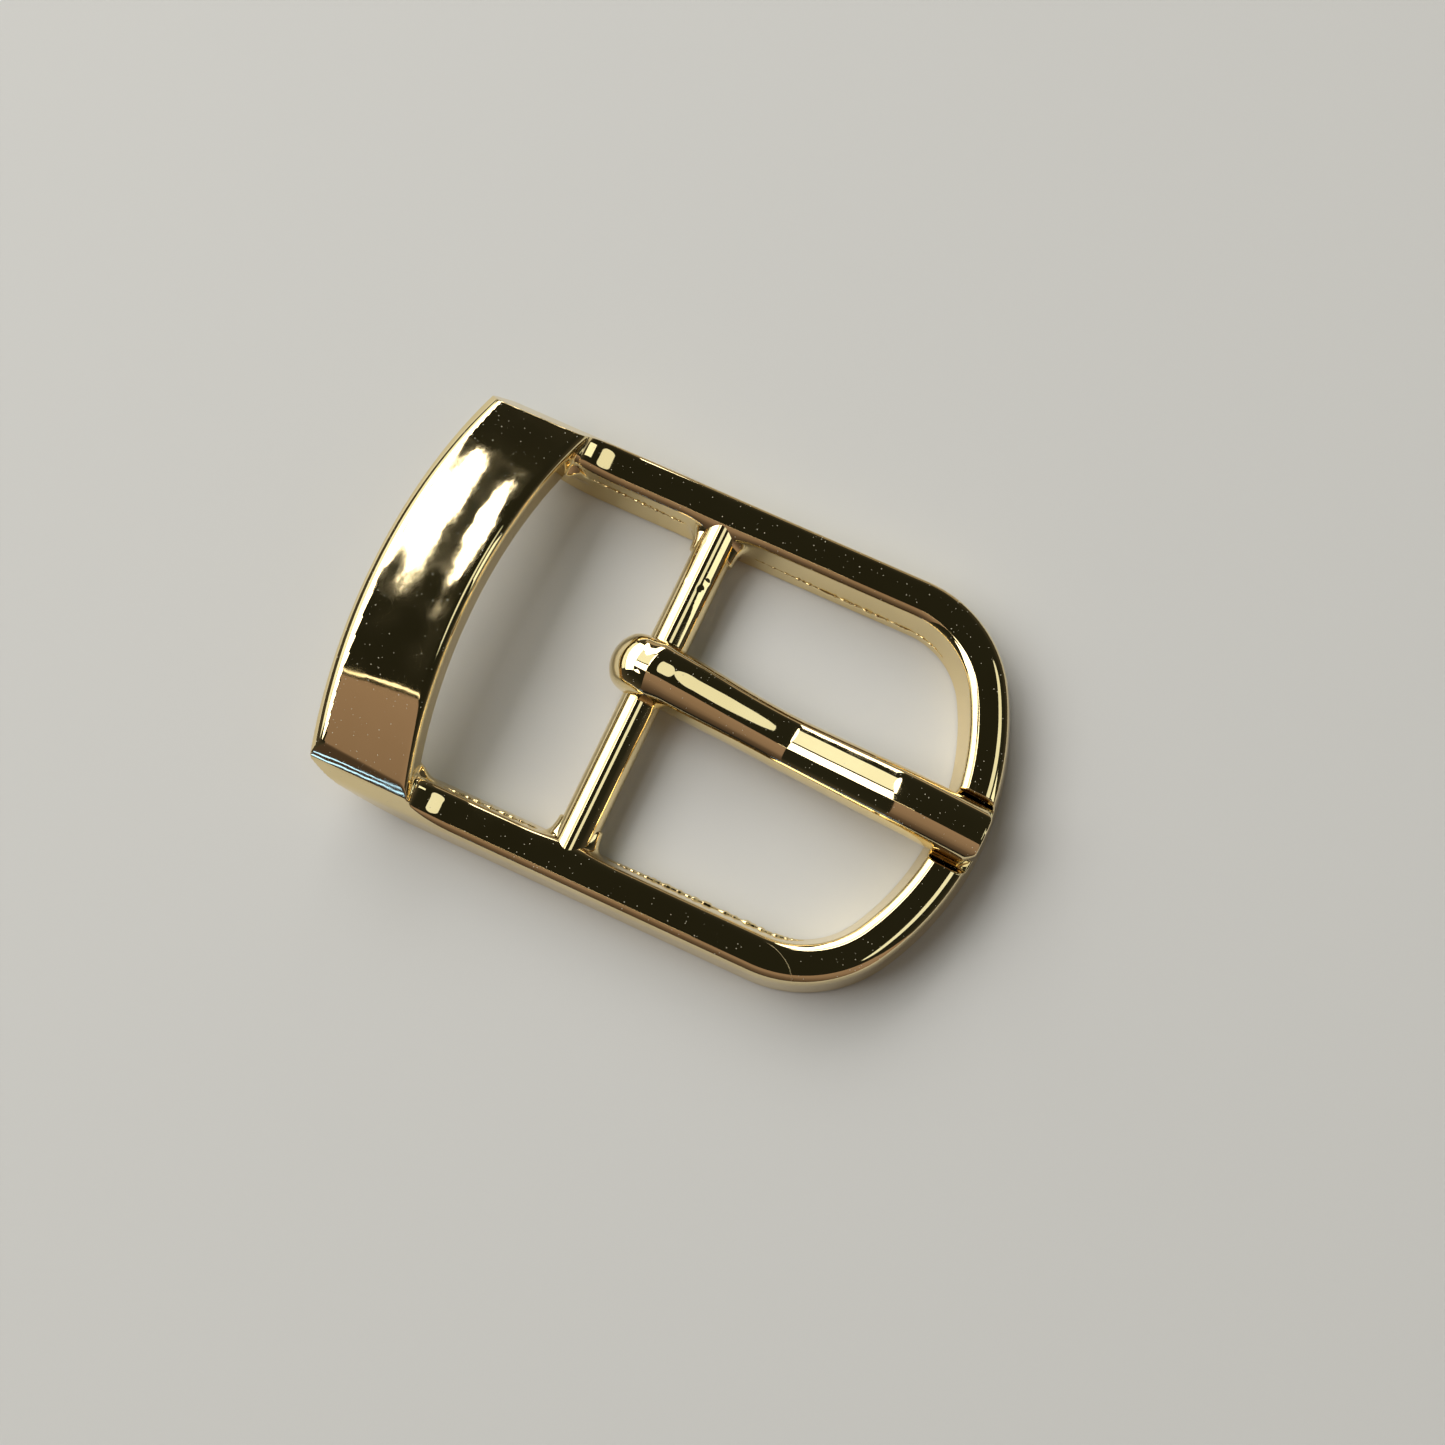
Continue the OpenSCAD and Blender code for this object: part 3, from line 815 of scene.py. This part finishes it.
# Each light: name, its two ranges of directions in degrees, brightness and colour. The window's bright
# frame, its darker pane and the curtain stand on the band's side. The lamps are low on the -Y side.
softbox("window", (-62, -29), (-27, 55), 4.0, WHITE)
softbox("window_edge", (-18.1, -15.4), (2, 42), 4.0, WHITE, round_ends=True)
softbox("window_pane", (-27.5, -17.9), (6, 38), 1.15, CREAM)
softbox("window_head", (-28, -17.5), (42, 70), 4.0, WHITE)
softbox("window_sill", (-28, -17.5), (-14, 2), 4.0, WHITE)
softbox("curtain", (-76, -63), (-22, 50), 1.2, CREAM)
softbox("side_window", (5, 20), (-4, 26), 1.0, CREAM, round_ends=True)
softbox("far_window", (34, 66), (14, 21), 1.3, CREAM)
softbox("card_edge", (-20, -6), (-15.2, -14.7), 2.2, AMBER)
softbox("back_card", (-28, 6), (73, 84), 0.35, SAND)
softbox("low_lamp", (-25, -15), (-82.5, -82.1), 3.5, BLUE)
softbox("lower_lamp", (-24, -16), (-81.2, -80.9), 3.5, BLUE)

world = bpy.data.worlds.new("studio")
bpy.context.scene.world = world
world.use_nodes = True
studio = world.node_tree


def shade(colour, brightness):
    """The colour made so many times as bright."""
    return tuple(channel * brightness for channel in colour)


def add_ramp(source, stops):
    """A colour that runs through the given (position, colour) stops as the source goes from 0 to 1."""
    ramp = add_node(studio, "ShaderNodeValToRGB")
    elements = ramp.color_ramp.elements
    for element, (position, colour) in zip(elements, (stops[0], stops[-1])):
        element.position = position
        element.color = (*colour, 1)
    for position, colour in stops[1:-1]:
        elements.new(position).color = (*colour, 1)
    studio.links.new(source, ramp.inputs["Fac"])
    return ramp.outputs["Color"]


# The room: dim, and darker overhead than at the horizon. Its stops run from the horizon, at 0, to overhead.
ROOM_STOPS = ((0.0, (0.07, 0.062, 0.05)), (0.3, (0.05, 0.045, 0.034)),
              (0.6, (0.02, 0.02, 0.014)), (1.0, (0.017, 0.017, 0.011)))
# The tan card hangs on the -Y side, from 15.6 degrees off overhead down to the horizon, and gets darker.
# Its stops run from the horizon, at 0, to overhead, at 0.5.
CARD_TOP = math.sin(math.radians(-15.6)) / 2 + 0.5
CARD_SIDE = -0.285
DARK = (0.02, 0.02, 0.02)
CARD_STOPS = ((0.0, DARK), (0.01, DARK), (0.02, shade(TAN, 0.07)), (0.12, shade(TAN, 0.13)),
              (0.23, shade(TAN, 0.28)), (CARD_TOP, shade(TAN, 0.33)))

split = add_node(studio, "ShaderNodeSeparateXYZ")
studio.links.new(add_node(studio, "ShaderNodeTexCoord").outputs["Generated"], split.inputs["Vector"])
room = add_ramp(split.outputs["Z"], ROOM_STOPS)
northward = spread(studio, split.outputs["Y"], -1.0, 1.0, 0.0, 1.0)
card = add_ramp(northward, CARD_STOPS)
below_top = combine(studio, "LESS_THAN", northward, CARD_TOP)
past_side = combine(studio, "GREATER_THAN", split.outputs["X"], CARD_SIDE)
surroundings = add_node(studio, "ShaderNodeMix", data_type="RGBA")
studio.links.new(combine(studio, "MULTIPLY", below_top, past_side), surroundings.inputs["Factor"])
studio.links.new(room, surroundings.inputs["A"])
studio.links.new(card, surroundings.inputs["B"])
studio.links.new(surroundings.outputs["Result"], studio.nodes["Background"].inputs["Color"])
bpy.context.scene.view_settings.view_transform = "Standard"
